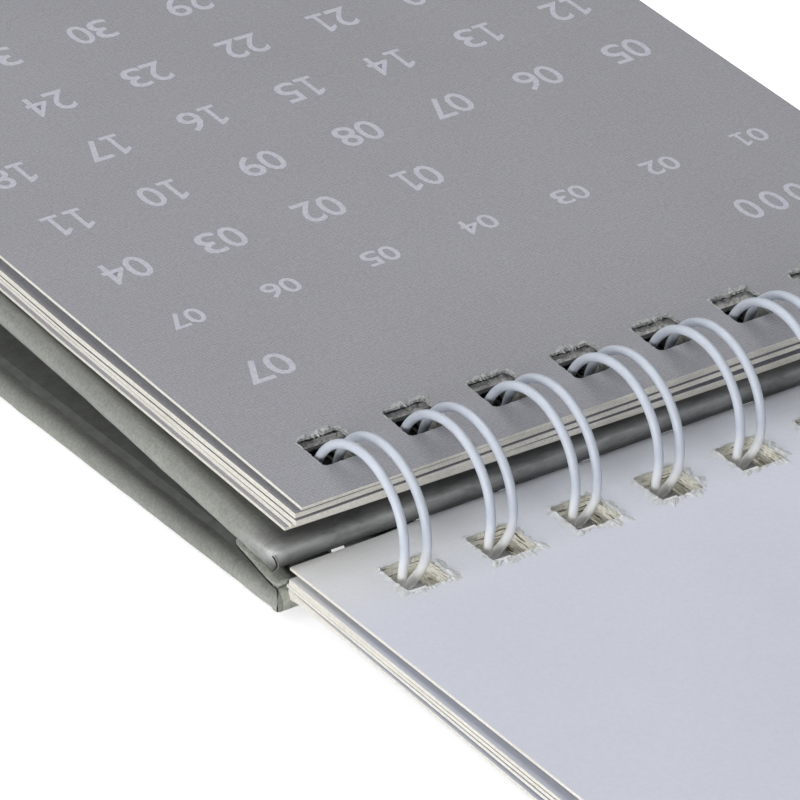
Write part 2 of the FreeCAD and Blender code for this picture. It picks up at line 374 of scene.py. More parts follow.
def wrap_paper(name, k, nose_shading_and_wear, top=None, side_light_x=None):
    """k: brightness; nose_shading_and_wear: how strongly the rounded edge at the wire is worn and carries painted
    shade and a painted highlight band; top: painted shade at this height and painted light down to the lower edge, and
    lighter towards the wire; side_light_x: painted light towards this x."""
    m = Nodes(name)
    speck = m.noise(3600.0, 3.0, 0.65)
    fibre = m.noise(800.0, 3.0, 0.6, m.mapped((1.0, 0.6, 1.0), (0, 0, 0.4)))
    cloud = m.noise(110.0, 2.0, 0.5)
    base = m.ramp(m.math("MULTIPLY_ADD", speck, 0.78, m.math("MULTIPLY", fibre, 0.22)),
                  [(0.32, srgb(121 * k, 123 * k, 118 * k)), (0.5, srgb(135 * k, 137 * k, 131 * k)),
                   (0.68, srgb(149 * k, 150 * k, 144 * k))])
    col = m.mix(base, m.ramp(cloud, [(0.3, grey(0.92)), (0.7, (1.05, 1.05, 1.04, 1))]), 0.8, "MULTIPLY")
    if nose_shading_and_wear:
        # the nose at the wire: darker, partly worn paper and partly painted shade at its top and bottom, with a
        # painted highlight band across its middle
        nose = m.ramp(m.along("Y", 0.0035, -0.0010), [(0.0, grey(0)), (1.0, grey(1))])
        wear_and_painted_light = m.ramp(m.along("Z", 0.0050, 0.0070), [(0.0, srgb(44, 45, 45)), (0.30, srgb(50, 51, 51)),
                                                     (0.60, srgb(118, 119, 119)), (0.80, srgb(154, 155, 155)),
                                                     (0.90, srgb(118, 119, 119)), (1.0, srgb(84, 85, 85))])
        col = m.mix(col, wear_and_painted_light, m.math("MULTIPLY", nose, nose_shading_and_wear))
        # uneven grime and little scuffs in the burnished paper
        grime = m.ramp(m.noise(520.0, 4.0, 0.7, m.mapped((0.35, 1.0, 1.0))),
                       [(0.36, (0.62, 0.62, 0.61, 1)), (0.50, grey(0.98)), (0.66, (1.30, 1.30, 1.28, 1))])
        col = m.mix(col, grime, nose, "MULTIPLY")
    if top is not None:
        # painted shade high up, in the gap under the front board, and painted light low down, where the floor's light
        # falls on the lower edge
        low = m.ramp(m.along("Z", top, top - 0.0022), [(0.0, grey(0.72)), (1.0, grey(1.42))])
        col = m.mix(col, low, 1.0, "MULTIPLY")
        # and lighter towards the bound corner
        bound = m.ramp(m.along("Y", 0.0100, 0.0005), [(0.0, grey(1)), (1.0, grey(1.42))])
        col = m.mix(col, bound, 1.0, "MULTIPLY")
    if side_light_x is not None:
        # painted light on the board's rounded left side, where the floor's light falls
        side_light = m.ramp(m.along("X", side_light_x + 0.0012, side_light_x - 0.0002), [(0.0, grey(1)), (1.0, grey(1.60))])
        col = m.mix(col, side_light, 1.0, "MULTIPLY")
    m.color(col)
    m.set(Roughness=0.44 if nose_shading_and_wear else 0.58, Specular_IOR_Level=0.4 if nose_shading_and_wear else 0.32)
    m.bump(m.math("ADD", speck, fibre), 0.55 if nose_shading_and_wear else 0.13, 0.00008)
    return m.mat


# painted shadow: a dark tube laid along the wrapping's mitre and slit, where there is only shade
def painted_shadow_seam():
    m = Nodes("painted_shadow_seam")
    m.color(m.ramp(m.noise(900.0), [(0.3, srgb(38, 38, 36)), (0.7, srgb(58, 58, 55))]))
    m.set(Roughness=0.95, Specular_IOR_Level=0.1)
    return m.mat


def lining_paper():
    m = Nodes("lining_paper")
    f = m.noise(800.0, 5.0, 0.7)
    m.color(m.ramp(f, [(0.3, srgb(90, 92, 88)), (0.7, srgb(112, 114, 109))]))
    m.set(Roughness=0.8)
    m.bump(f, 0.2, 0.0001)
    return m.mat


def coated_wire():
    m = Nodes("coated_wire")
    f = m.noise(700.0, 3.0)
    coat = m.ramp(f, [(0.3, srgb(184, 190, 200)), (0.7, srgb(190, 196, 206))])
    # painted light: lighter and warmer low down, where it runs in and out of the holes in shade
    wire_painted_light = m.ramp(m.along("Z", 0.0080, 0.0048), [(0.0, grey(1)), (1.0, (1.62, 1.52, 1.36, 1))])
    m.color(m.mix(coat, wire_painted_light, 1.0, "MULTIPLY"))
    m.set(Roughness=0.34, Specular_IOR_Level=0.4)
    m.set(Subsurface_Weight=0.5, Subsurface_Radius=(1.0, 0.95, 0.9), Subsurface_Scale=0.0006)
    m.bump(f, 0.05, 0.00005)
    return m.mat


GREY_TOP = 3.52           # the grey pile's face at the holes, above the ring axis
SIDE_LIGHT_IN = 0.7         # painted light on the front board's side reaches about this far in
MAT = dict(grey=grey_print(), edge=cut_edge(), blank=blank_paper(), ink=ink(),
           # the back board's wrap carries painted shade and light by height; the front board's, painted shade and a
           # painted highlight on its nose and painted light on its side
           wrap=wrap_paper("wrap_paper", 0.93, 0.0), low=wrap_paper("painted_shading_wrap_paper", 0.93, 0.0, 0.0028),
           nose=wrap_paper("worn_painted_light_wrap_paper", 0.79, 0.85, None, (X0 + FRONT_X + SIDE_LIGHT_IN) * MM),
           fold=wrap_paper("folded_wrap_paper", 1.58, 0.0),
           lining=lining_paper(), wire=coated_wire(), painted_shadow_seam=painted_shadow_seam(),
           grey_wall=deep_hole_wall("grey_hole_wall", (AXIS.z + GREY_TOP) * MM),
           pale_wall=hole_wall("pale_hole_wall", srgb(92, 80, 62), srgb(186, 180, 160), srgb(246, 244, 234), 9500.0),
           # the second leaf in the holes: the print's grey, painted paler as painted light against the shade there
           bare=torn("second_leaf_painted_light", srgb(150, 149, 147), srgb(226, 225, 222)),
           grey_torn=torn("grey_torn", srgb(128, 129, 130), srgb(182, 183, 182)),
           pale_torn=torn("pale_torn", srgb(184, 186, 186), srgb(204, 206, 208)))


# ------------------------------------------------------------------ mesh helpers
def to_object(name, bm, mats, body, replaces=None, smooth=False):
    mesh = bpy.data.meshes.new(name)
    bm.normal_update()
    bm.to_mesh(mesh)
    bm.free()
    for m in mats:
        mesh.materials.append(MAT[m])
    if smooth:
        mesh.shade_smooth()
    obj = bpy.data.objects.new(name, mesh)
    bpy.context.collection.objects.link(obj)
    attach(obj, body)
    if replaces:
        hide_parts(replaces)
    return obj


def hole_xs(shift=0.0):
    return [HOLE_X + shift + i * PITCH for i in range(HOLES)]


def square_loop(cx, cu, size, rng, rough=0.05, corner=0.3, step=0.3):
    """A punched hole's outline: a square with small corners and a slightly torn edge."""
    h = size / 2.0
    pts = []
    side = int((size - 2 * corner) / step)
    for k, (dx, du) in enumerate(((1, 0), (0, 1), (-1, 0), (0, -1))):
        nx, nu = du, -dx
        a = Vector((-dx * (h - corner) + nx * h, -du * (h - corner) + nu * h))
        b = Vector((dx * (h - corner) + nx * h, du * (h - corner) + nu * h))
        for i in range(side + 1):
            p = a.lerp(b, i / side)
            j = rng.uniform(-0.2 * rough, 1.8 * rough)
            pts.append((cx + p.x + nx * j, cu + p.y + nu * j))
        c = Vector((dx * (h - corner) + nx * (h - corner), du * (h - corner) + nu * (h - corner)))
        for i in (1, 2):
            t = math.radians(30 * i)
            pts.append((cx + c.x + corner * (nx * math.cos(t) + dx * math.sin(t)),
                        cu + c.y + corner * (nu * math.cos(t) + du * math.sin(t))))
    return pts


def curve_mesh(cu):
    ob = bpy.data.objects.new("outline", cu)
    bpy.context.collection.objects.link(ob)
    dg = bpy.context.evaluated_depsgraph_get()
    me = bpy.data.meshes.new_from_object(ob.evaluated_get(dg))
    bpy.data.objects.remove(ob)
    bpy.data.curves.remove(cu)
    bm = bmesh.new()
    bm.from_mesh(me)
    bpy.data.meshes.remove(me)
    return bm


def flat_fill(loops, extrude=0.0):
    """A flat face set with holes from outline loops, by way of a filled 2D curve."""
    cu = bpy.data.curves.new("outline", "CURVE")
    cu.dimensions = "2D"
    cu.extrude = extrude
    cu.fill_mode = "BOTH"
    for loop in loops:
        sp = cu.splines.new("POLY")
        sp.points.add(len(loop) - 1)
        for p, (x, y) in zip(sp.points, loop):
            p.co = (x, y, 0, 1)
        sp.use_cyclic_u = True
    return curve_mesh(cu)


def cut_lines(bm, xs, us):
    planes = [((x, 0, 0), (1, 0, 0)) for x in xs] + [((0, u, 0), (0, 1, 0)) for u in us]
    for point, normal in planes:
        bmesh.ops.bisect_plane(bm, geom=bm.verts[:] + bm.edges[:] + bm.faces[:], plane_co=point, plane_no=normal)


def leaf_sheet(loops, thick, height, cuts_x, cuts_u, mats, hole_mat=None):
    """A thin sheet with holes: mats are the indices for the top, the edges and the underside."""
    bm = flat_fill(loops)
    bmesh.ops.remove_doubles(bm, verts=bm.verts, dist=1e-5)
    cut_lines(bm, cuts_x, cuts_u)
    bmesh.ops.recalc_face_normals(bm, faces=bm.faces)
    if bm.faces and bm.faces[:][0].normal.z < 0:
        bmesh.ops.reverse_faces(bm, faces=bm.faces)
    for f in bm.faces:
        f.material_index = mats[0]
    top = bm.faces[:]
    ret = bmesh.ops.extrude_face_region(bm, geom=top)
    low = [e for e in ret["geom"] if isinstance(e, bmesh.types.BMVert)]
    for f in ret["geom"]:
        if isinstance(f, bmesh.types.BMFace):
            f.material_index = mats[2]
    low_set = set(low)
    xs = [x for x, _ in loops[0]]
    us = [u for _, u in loops[0]]
    for v in low:
        v.co.z = -thick(v.co.x, v.co.y) if callable(thick) else -thick
    for f in bm.faces:
        n = sum(1 for v in f.verts if v in low_set)
        if 0 < n < len(f.verts):
            c = f.calc_center_median()
            inside = min(xs) + 0.5 < c.x < max(xs) - 0.5 and min(us) + 0.5 < c.y < max(us) - 0.5
            f.material_index = hole_mat if inside and hole_mat is not None else mats[1]
    for v in bm.verts:
        v.co.z += height(v.co.x, v.co.y)
    bmesh.ops.recalc_face_normals(bm, faces=bm.faces)
    return bm


def merge(dst, src, matrix=None):
    me = bpy.data.meshes.new("tmp")
    src.to_mesh(me)
    src.free()
    if matrix is not None:
        me.transform(matrix)
    dst.from_mesh(me)
    bpy.data.meshes.remove(me)


def seat(bm, deg):
    """From mm about the ring axis to the row frame in metres."""
    for v in bm.verts:
        v.co = place(v.co.x, v.co.y, v.co.z, deg)


# ------------------------------------------------------------------ leaves
WALL_MAT, TORN_MAT, BARE_MAT = 3, 4, 5    # where these stand in a pile's list of materials


def leaf_drop(row, x, u, x0, u0):
    """How far a leaf lies from the top one."""
    near, mid, far, right_drop = row[2:]
    t = u - u0
    drop = near + (mid - near) * t / LEAF_MID if t < LEAF_MID else \
        mid + (far - mid) * (t - LEAF_MID) / (LEAF_H - LEAF_MID)
    splay = right_drop * min(1.0, max(0.0, (x - x0) / 45.0)) * max(0.0, 1 - t / 40.0)
    return drop + splay


def leaf_pile(p, seed):
    rng = random.Random(seed)
    pile = bmesh.new()
    rows = p["rows"]
    stacks = []
    for k, row in enumerate(rows):
        x0, u0 = p["x"] + row[0], p["u"] + row[1]
        near, more = (u0 - reach if k == 0 else u0 for reach in p["back"])
        outline = [(x0, near), (x0 + REACH_FROM, near), (x0 + REACH_TO, more), (x0 + LEAF_W, more),
                   (x0 + LEAF_W, u0 + LEAF_H), (x0, u0 + LEAF_H)]
        holes = [square_loop(cx, u0 + HOLE_U, HOLE, rng, step=0.2) for cx in hole_xs(row[0])]
        if k == 1:
            for i, loop in enumerate(holes):
                cut_far_side(loop, u0 + HOLE_U, p["lip"][0] + p["lip"][1] * i)
        follower = rows[k + 1] if k in p["pressed"] else None
        most = p["pressed"].get(k, LEAF_T)

        def thick(x, u, row=row, follower=follower, x0=x0, u0=u0, most=most):
            """Pressed leaves all but touch: the upper one fills the gap down to the next."""
            if follower is None:
                return LEAF_T
            gap = leaf_drop(follower, x, u, x0, u0) - leaf_drop(row, x, u, x0, u0)
            return max(LEAF_T, min(gap - GAP_LEFT, most))

        def height(x, u, row=row, x0=x0, u0=u0, thick=thick):
            lift = thick(x, u) if p["sign"] > 0 else 0.0
            return p["n"] + p["sign"] * leaf_drop(row, x, u, x0, u0) + lift
        sheet = leaf_sheet([outline] + holes, thick, height, [x0 + i for i in SHEET_CUTS_X],
                           [u0 + i for i in SHEET_CUTS_U], (0, 1, 2), WALL_MAT)
        if k in p["bent_corner"]:
            for v in sheet.verts:
                w = max(0.0, 1 - math.hypot(v.co.x - x0, v.co.y - u0) / BENT_REACH)
                under = v.co.z > height(v.co.x, v.co.y) - 0.5 * LEAF_T
                v.co += Vector((BENT_SHIFT[0] * w, BENT_SHIFT[1] * w, (BENT_UNDER if under else BENT_OVER) * w ** 1.2))
        merge(pile, sheet)
        stacks.append((holes, height, thick))
    hole_filling(pile, p, stacks)
    torn_rims(pile, p, stacks[0], random.Random(seed + 50))
    return pile


def cut_far_side(loop, cu, lip):
    """The second leaf shows in the holes: its own holes end nearer to the wire."""
    for i, (x, u) in enumerate(loop):
        limit = cu + HOLE / 2 - lip
        if u > limit:
            loop[i] = (x, limit + LIP_SQUEEZE * (u - limit))


def hole_filling(pile, p, stacks):
    """Close the slits between neighbouring leaves round every hole, a little behind the cut edges."""
    for k, ((up_holes, up_h, up_t), (lo_holes, lo_h, lo_t)) in enumerate(zip(stacks, stacks[1:])):
        for i, (a, b) in enumerate(zip(up_holes, lo_holes)):
            if k == 0 and p["lip"][0] > 0:
                deep_slit(pile, a, up_h, up_t, lo_h, max(u for _, u in a) - max(u for _, u in b))
                continue
            cx = sum(x for x, _ in a) / len(a)
            cu = sum(u for _, u in a) / len(a)
            rows = [[], [], []]
            for (xa, ua), (xb, ub) in zip(a, b):
                if p["sign"] < 0:
                    za, zb = up_h(xa, ua) - up_t(xa, ua), lo_h(xb, ub)
                else:
                    za, zb = up_h(xa, ua), lo_h(xb, ub) - lo_t(xb, ub)
                d = Vector(((xa + xb) / 2 - cx, (ua + ub) / 2 - cu)).normalized() * 0.05
                rows[0].append(pile.verts.new((xa, ua, za)))
                rows[1].append(pile.verts.new(((xa + xb) / 2 + d.x, (ua + ub) / 2 + d.y, (za + zb) / 2)))
                rows[2].append(pile.verts.new((xb, ub, zb)))
            strip(pile, rows, WALL_MAT)


def deep_slit(pile, loop, up_h, up_t, lo_h, lip):
    """The open gap between the two top leaves, closed well behind the hole's edge."""
    cx = sum(x for x, _ in loop) / len(loop)
    cu = sum(u for _, u in loop) / len(loop)
    rows = [[], [], []]
    for x, u in loop:
        d = Vector((x - cx, u - cu)).normalized() * SLIT_DEPTH
        rows[0].append(pile.verts.new((x, u, up_h(x, u) - up_t(x, u))))
        rows[1].append(pile.verts.new((x + d.x, u + d.y, up_h(x, u) - up_t(x, u))))
        rows[2].append(pile.verts.new((x + d.x, u + d.y, lo_h(x + d.x, u + d.y))))
    strip(pile, rows, WALL_MAT)
    # the strip of the second leaf that the hole lays open, painted paler than its print as painted light against the
    # shade in the hole
    far = max(u for _, u in loop)
    plate = []
    for share in BARE_SHARES:
        row = []
        for i in range(27):
            x = cx - BARE_HALF + BARE_STEP * i
            n1 = noise.noise(Vector((x * 1.1, share * 2.0, 3)))
            n2 = noise.noise(Vector((x * 3.7, share * 5.0, 6)))
            ragged = 0.10 * abs(n2) if share == 0.0 else 0.0
            u = far - lip + 0.03 + (lip + 0.1) * share - ragged
            rise = BARE_LIFT
            if share not in (BARE_SHARES[0], BARE_SHARES[-1]):
                rise = max(BARE_LIFT, 0.05 + 0.26 * share + 0.20 * n1 + 0.10 * n2)
            row.append(pile.verts.new((x, u, lo_h(x, u) + rise)))
        plate.append(row)
    strip(pile, plate, BARE_MAT, closed=False)


def strip(bm, rows, mat, closed=True):
    """Faces between neighbouring rows of points."""
    n = len(rows[0])
    for r0, r1 in zip(rows, rows[1:]):
        for i in range(n if closed else n - 1):
            j = (i + 1) % n
            f = bm.faces.new((r0[i], r0[j], r1[j], r1[i]))
            f.material_index = mat


def torn_rims(pile, p, stack, rng):
    """Ragged fibres that the punch and the wire have pulled up round the top leaf's holes."""
    holes, height, thick = stack
    out = -p["sign"]
    for loop in holes:
        cx = sum(x for x, _ in loop) / len(loop)
        cu = sum(u for _, u in loop) / len(loop)
        seed = Vector((rng.uniform(0, 50), rng.uniform(0, 50), 0))
        fine = []
        for i, (x, u) in enumerate(loop):
            x2, u2 = loop[(i + 1) % len(loop)]
            fine += [(x, u), ((x + x2) / 2, (u + u2) / 2)]
        rows = [[] for _ in range(6)]
        for x, u in fine:
            d = Vector((x - cx, u - cu))
            face = max(abs(d.x), abs(d.y)) / (HOLE / 2)
            d.normalize()
            far, right, left, near = (max(0.0, v) for v in (d.y, d.x, -d.x, -d.y))
            w, lift, inner = p["rim"](far, near, left, right)
            n1 = noise.noise(Vector((x, u, 0)) * 1.3 + seed)
            n2 = noise.noise(Vector((x, u, 5)) * 2.9 + seed)
            n3 = noise.noise(Vector((x, u, 9)) * 7.0 + seed)
            w *= max(0.25, 1 + 1.2 * n1 + 0.6 * n2 + 0.3 * n3)
            lift *= max(0.1, 1 + 1.1 * n1 + 0.8 * n2 + 0.3 * n3)
            base = height(x, u) if p["sign"] < 0 else height(x, u) - thick(x, u)
            shape = ((-inner * (0.2 + 2.0 * abs(n3)), -0.10), (-inner * 0.35, lift * 0.55), (w * 0.12, lift),
                     (w * 0.34, lift * 0.80), (w * 0.62, lift * 0.42), (w, -0.012))
            for row, (off, h) in zip(rows, shape):
                k = noise.noise(Vector((x + d.x * off, u + d.y * off, 2)) * 3.4 + seed)
                rise = max(-0.012, h * (1 + 1.1 * k)) if h > -0.05 else h
                row.append(pile.verts.new((x + d.x * off * face, u + d.y * off * face, base + out * rise)))
        strip(pile, rows, TORN_MAT)


def unturned_leaves():
    bm = leaf_pile(UNTURNED, 11)
    seat(bm, LEAF_TILT)
    to_object("unturned_leaves", bm, ("grey", "edge", "blank", "grey_wall", "grey_torn", "bare"),
              "leaves_unturned", "unturned_pages")


def turned_leaves():
    # drawn like the other pile and turned over the rings, so the printed faces end up below
    bm = leaf_pile(TURNED, 12)
    seat(bm, TURN_TILT)
    to_object("turned_leaves", bm, ("grey", "edge", "blank", "pale_wall", "pale_torn"),
              "leaves_turned", "turned_pages")


# ------------------------------------------------------------------ print
INK_T, INK_BOLD, INK_LIFT = 0.012, 0.035, 0.008
ONE = ((-0.42, 0.0), (0.42, 0.0), (0.42, 0.13), (0.11, 0.13), (0.11, 1.0), (-0.08, 1.0), (-0.42, 0.85), (-0.42, 0.72),
       (-0.10, 0.80), (-0.10, 0.13), (-0.42, 0.13))


def glyph(char, high):
    """One digit as a thin raised field of ink, centred, about as high as asked."""
    if char == "1":
        return flat_fill([[(x * 0.55 * high, (y - 0.5) * high) for x, y in ONE]], INK_T / 2)
    cu = bpy.data.curves.new("digit", "FONT")
    cu.body = char
    cu.size = high * 1.37
    cu.offset = INK_BOLD
    cu.align_x = "CENTER"
    cu.align_y = "CENTER"
    cu.extrude = INK_T / 2
    cu.resolution_u = 3
    return curve_mesh(cu)


COLUMNS = (7.85, 17.45, 27.65, 38.0, 47.8, 57.7, 67.6)    # last day of the week first
ROWS = (37.0, 45.95, 54.9, 63.85, 72.8)
FIRST_DAY_COLUMN, DAYS = 3, 31
HEAD_U, WEEKDAY_U = 18.4, 28.1
MONTH_X, YEAR_X, YEAR_STEP = 9.3, 59.8, 2.75
CELL_FILL, ONE_FILL = 0.94, 0.80          # how much of its cell a digit takes, and a figure 1 of that


def printed_face():
    all_print = bmesh.new()
    half_turn = Matrix.Rotation(math.pi, 4, "Z")

    def put(text, x, y, high, wide):
        cell = wide / len(text)
        for i, char in enumerate(text):
            bm = glyph(char, high)
            xs = [v.co.x for v in bm.verts]
            ys = [v.co.y for v in bm.verts]
            cx, cy = (min(xs) + max(xs)) / 2, (min(ys) + max(ys)) / 2
            fill = CELL_FILL * cell * (ONE_FILL if char == "1" else 1.0)
            k, kh = fill / (max(xs) - min(xs)), high / (max(ys) - min(ys))
            at = (i - (len(text) - 1) / 2) * cell
            for v in bm.verts:
                v.co = ((v.co.x - cx) * k + at, (v.co.y - cy) * kh, v.co.z)
            lift = UNTURNED["n"] + INK_LIFT
            merge(all_print, bm, Matrix.Translation((x, y + UNTURNED["u"], lift)) @ half_turn)

    put("07", MONTH_X, HEAD_U, 3.3, 5.0)
    for k in range(4):
        put("0", YEAR_X + YEAR_STEP * k, HEAD_U, 3.4, 2.1)
    for c in range(7):
        put("%02d" % (7 - c), COLUMNS[c], WEEKDAY_U, 2.3, 3.6)
    day, col, row = 1, FIRST_DAY_COLUMN, 0
    while day <= DAYS:
        put("%02d" % day, COLUMNS[col], ROWS[row], 3.4, 4.5)
        day += 1
        col -= 1
        if col < 0:
            col, row = 6, row + 1
    seat(all_print, LEAF_TILT)
    to_object("printed_dates", all_print, ("ink",), "leaves_unturned")


# ------------------------------------------------------------------ wire
def ring(x, deg, r=RING_R):
    a = math.radians(deg)
    return Vector((x, r * math.cos(a), r * math.sin(a)))


def hermite(pts, t0, t1, per):
    """A smooth curve through pts with given end directions."""
    n = len(pts)
    tang = []
    for i in range(n):
        if i == 0:
            tang.append(t0 * (pts[1] - pts[0]).length)
        elif i == n - 1:
            tang.append(t1 * (pts[-1] - pts[-2]).length)
        else:
            d0, d1 = (pts[i] - pts[i - 1]).length, (pts[i + 1] - pts[i]).length
            tang.append((pts[i] - pts[i - 1]) / d0 * d1 + (pts[i + 1] - pts[i]) / d1 * d0)
    out = []
    for i in range(n - 1):
        p, q = pts[i], pts[i + 1]
        seg = (q - p).length
        a = tang[i].normalized() * seg
        b = tang[i + 1].normalized() * seg
        for k in range(per):
            t = k / per
            out.append(p * (2 * t**3 - 3 * t**2 + 1) + a * (t**3 - 2 * t**2 + t)
                       + q * (-2 * t**3 + 3 * t**2) + b * (t**3 - t**2))
    return out


def ring_dir(deg):
    a = math.radians(deg)
    return Vector((0, -math.sin(a), math.cos(a)))


def wire_points():
    pts = []
    for x in hole_xs(WIRE_SLIP):
        left, right_x = x - PAIR, x + PAIR
        d = ring_dir(BASE_AT)
        if not pts:
            pts.append(ring(left, BASE_AT) - d * BEND - Vector((BEND + END_LEN, 0, 0)))
        side = []
        for xx, sgn in ((left, -1), (right_x, 1)):
            c = ring(xx, BASE_AT) + Vector((sgn * BEND, 0, 0))
            arc = [c - Vector((sgn * BEND * math.cos(t), 0, 0)) - d * BEND * math.sin(t)
                   for t in [math.radians(90 - 15 * k) for k in range(6)]]
            low = [ring(xx, BASE_AT)] + [Vector((xx, u, n)) for u, n in reversed(LOW)] + [ring(xx, CIRC_FROM)]
            run = hermite(low, ring_dir(BASE_AT), ring_dir(CIRC_FROM), 7)
            steps = 54
            circ = [ring(xx, CIRC_FROM + (NARROW_FROM - CIRC_FROM) * k / steps) for k in range(steps)]
            nar = []
            for k in range(13):
                t = k / 12.0
                s = t * t * (3 - 2 * t)
                nar.append(ring(xx - sgn * s * (PAIR - TIP), NARROW_FROM + (NARROW_TO - NARROW_FROM) * t))
            side.append(arc + run + circ + nar)
        tip_c = ring(x, NARROW_TO)
        td = ring_dir(NARROW_TO)
        bend = [tip_c + Vector((-TIP * math.cos(t), 0, 0)) + td * TIP * math.sin(t)
                for t in [math.radians(180 * k / 10) for k in range(1, 10)]]
        pts += side[0] + bend + list(reversed(side[1]))
    last = pts[-1]
    pts.append(last + Vector((END_LEN, 0, 0)))
    return pts


def tube(pts, radius, sides, wobble=0.0):
    bm = bmesh.new()
    n = len(pts)
    tan = [(pts[min(i + 1, n - 1)] - pts[max(i - 1, 0)]).normalized() for i in range(n)]
    nrm = tan[0].orthogonal().normalized()
    rings = []
    for i in range(n):
        nrm = (nrm - tan[i] * nrm.dot(tan[i])).normalized()
        b = tan[i].cross(nrm)
        row = []
        for k in range(sides):
            a = 2 * math.pi * k / sides
            r = radius * (1 + wobble * noise.noise(pts[i] * 0.9 + Vector((k * 0.3, 0, 0))))
            row.append(bm.verts.new(pts[i] + (nrm * math.cos(a) + b * math.sin(a)) * r))
        rings.append(row)
    for i in range(n - 1):
        for k in range(sides):
            j = (k + 1) % sides
            bm.faces.new((rings[i][k], rings[i][j], rings[i + 1][j], rings[i + 1][k]))
    bm.faces.new(list(reversed(rings[0])))
    bm.faces.new(rings[-1])
    bmesh.ops.recalc_face_normals(bm, faces=bm.faces)
    return bm


def wire():
    bm = tube(wire_points(), WIRE_D / 2.0, 16, 0.02)
    seat(bm, 0.0)
    to_object("twin_loop_wire", bm, ("wire",), "back", "binding_wire", smooth=True)


# ------------------------------------------------------------------ boards
def rounded_board(x0, width, u0, u1, top, thick, radius, hole_u, hole, seed, mitred=False, taper=0.0, grid=1.2,
                  rough=0.05):
    bm = bmesh.new()
    bmesh.ops.create_cube(bm, size=1.0)
    for v in bm.verts:
        v.co = Vector((x0 + (v.co.x + 0.5) * width, u0 + (v.co.y + 0.5) * (u1 - u0), top + (v.co.z - 0.5) * thick))
    edges = [e for e in bm.edges if not mitred or abs(e.verts[0].co.z - e.verts[1].co.z) < 0.1]
    bmesh.ops.bevel(bm, geom=edges + ([] if mitred else bm.verts[:]), offset=radius, segments=6, profile=0.5,
                    affect="EDGES")
    xs, us = [], []
    if hole_u is not None:
        for cx in hole_xs():
            xs += [cx - hole / 2, cx + hole / 2]
        us += [hole_u - hole / 2, hole_u + hole / 2]
    n = int((width - 4) / grid)
    xs += [x0 + 2 + (width - 4) * k / n for k in range(n + 1)]
    n = int((u1 - u0 - 4) / grid)
    us += [u0 + 2 + (u1 - u0 - 4) * k / n for k in range(n + 1)]
    # closer together at the near corners, where the wrapping is folded
    xs += [x0 + radius + 0.25 * k for k in range(1, 6)]
    us += [u0 + radius + 0.35 * k for k in range(1, 24)]
    cut_lines(bm, sorted(xs), sorted(us))
    if hole_u is not None:
        for cx in hole_xs():
            h = hole / 2
            gone = [f for f in bm.faces if abs(f.calc_center_median().x - cx) < h
                    and abs(f.calc_center_median().y - hole_u) < h]
            bmesh.ops.delete(bm, geom=gone, context="FACES")
            rim = [e for e in bm.edges if e.is_boundary
                   and all(abs(v.co.x - cx) < h + 0.01 and abs(v.co.y - hole_u) < h + 0.01 for v in e.verts)]
            bmesh.ops.bridge_loops(bm, edges=rim)
    off = Vector((seed * 13.7, seed * 5.1, 0))
    for v in bm.verts:
        c = v.co.copy()
        edge = min(c.x - x0, x0 + width - c.x, c.y - u0, u1 - c.y)
        k = 0.35 + 0.65 * max(0.0, 1 - edge / 6.0)
        v.co.z += rough * k * noise.noise(c * 0.35 + off)
        if edge < 1.2:
            v.co.x += rough * 1.2 * noise.noise(Vector((c.x * 0.2, c.y * 0.45, 3.0)) + off)
            v.co.y += rough * 1.2 * noise.noise(Vector((c.x * 0.45, c.y * 0.2, 9.0)) + off)
        # the left edge runs in a little away from the bound corner
        v.co.x += taper * (0.3 + 0.7 * min(1.0, (c.y - u0) / 32.0)) * max(0.0, 1 - (c.x - x0) / 8.0)
        # the folded wrapping is lumpy near the bound corners
        corner = max(0.0, 1 - (c - Vector((x0, u0, c.z))).length / 9.0)
        if corner > 0:
            lump = noise.noise(Vector((c.x, c.y * 0.7, c.z)) * 0.8 + off) + 0.6 * noise.noise(c * 1.9 + off)
            v.co += Vector((-0.5, -0.2, 0.35)) * 0.16 * corner * lump
    bmesh.ops.recalc_face_normals(bm, faces=bm.faces)
    return bm


def smooth_line(pts, per=6):
    pts = [Vector(p) for p in pts]
    return hermite(pts, (pts[1] - pts[0]).normalized(), (pts[-1] - pts[-2]).normalized(), per) + [pts[-1]]


def trim(name, parts, mats, deg, body):
    """Small parts of the wrapping: lips, flaps and dark tubes of painted shadow along its joins, as tubes or sheets.
    """
    bm = bmesh.new()
    for part, index in parts:
        for f in part.faces:
            f.material_index = index
        merge(bm, part)
    seat(bm, deg)
    to_object(name, bm, mats, body, smooth=True)


def patch(rows, thick):
    """A thin sheet through rows of points, its rim closed down to the board."""
    bm = bmesh.new()
    n = len(rows[0])
    top = [[bm.verts.new(p) for p in row] for row in rows]
    for r0, r1 in zip(top, top[1:]):
        for i in range(n - 1):
            bm.faces.new((r0[i], r0[i + 1], r1[i + 1], r1[i]))
    bmesh.ops.solidify(bm, geom=bm.faces[:], thickness=thick)
    bmesh.ops.recalc_face_normals(bm, faces=bm.faces)
    return bm


